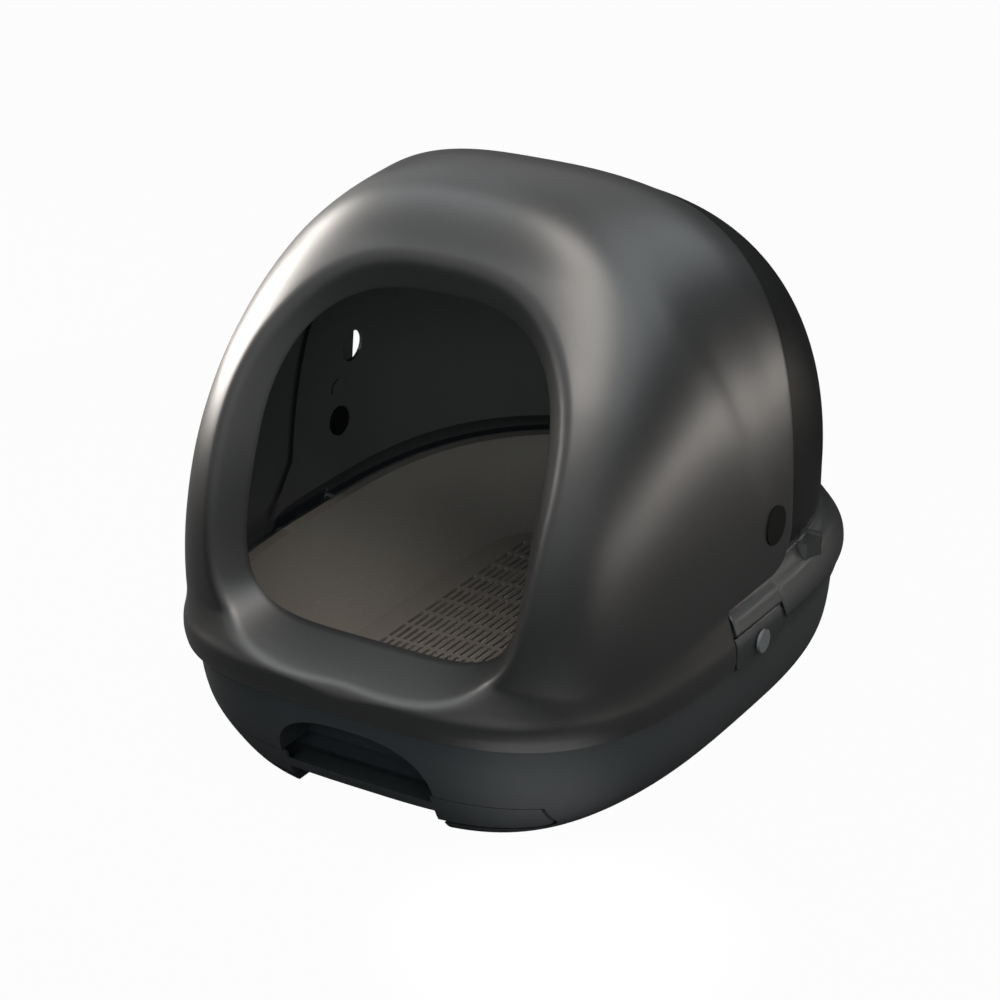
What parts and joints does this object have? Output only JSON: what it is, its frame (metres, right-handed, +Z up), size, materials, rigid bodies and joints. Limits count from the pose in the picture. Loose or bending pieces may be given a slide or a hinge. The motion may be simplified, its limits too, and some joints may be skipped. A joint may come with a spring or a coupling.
{
  "type": "covered litter box",
  "caption": "Covered litter box: tub with pull-out tray and slotted basin, under a domed hood whose front half, with a round-cornered doorway, turns back over the rear half.",
  "frame": {"origin": "centre of the bounding box, on the floor the tub stands on", "axes": "+X to the right seen from the doorway, +Y from the doorway to the back, +Z up"},
  "size_m": [0.4072, 0.5159, 0.4214],
  "materials": {
    "hood": "satin pearly charcoal",
    "tub": "matte dark charcoal",
    "basin": "matte warm brown grey",
    "pad": "quilted absorbent non-woven",
    "pin": "matte near black",
    "stud": "matte mid grey"
  },
  "bodies": {
    "base": {"base_tub": "tub", "grate_basin": "basin"},
    "drawer": {"drawer_tray": "tub", "absorbent_pad": "pad"},
    "rear": {"rear_hood": "hood"},
    "front": {"front_hood": "hood", "pivot_pin_left": "pin", "pivot_pin_right": "pin"},
    "latch_left": {"latch_tab_left": "tub", "latch_stud_left": "stud"},
    "latch_right": {"latch_tab_right": "tub", "latch_stud_right": "stud"}
  },
  "joints": [
    {"name": "drawer_slide", "type": "slide", "parent": "base", "child": "drawer", "axis": [0, -1, 0], "range_m": [0, 0.36]},
    {"name": "hood_lift", "type": "slide", "parent": "base", "child": "rear", "axis": [0, 0, 1], "range_m": [0, 0.25]},
    {"name": "hood_flip", "type": "hinge", "parent": "rear", "child": "front", "pos_m": [0, 0.013, 0.1706], "axis": [-1, 0, 0], "range_deg": [0, 85]},
    {"name": "latch_flex_left", "type": "hinge", "parent": "rear", "child": "latch_left", "pos_m": [-0.1989, -0.022, 0.1114], "axis": [0, 1, 0], "range_deg": [0, 8], "stiffness_Nm_per_rad": 0.4},
    {"name": "latch_flex_right", "type": "hinge", "parent": "rear", "child": "latch_right", "pos_m": [0.1989, -0.022, 0.1114], "axis": [0, -1, 0], "range_deg": [0, 8], "stiffness_Nm_per_rad": 0.4}
  ]
}
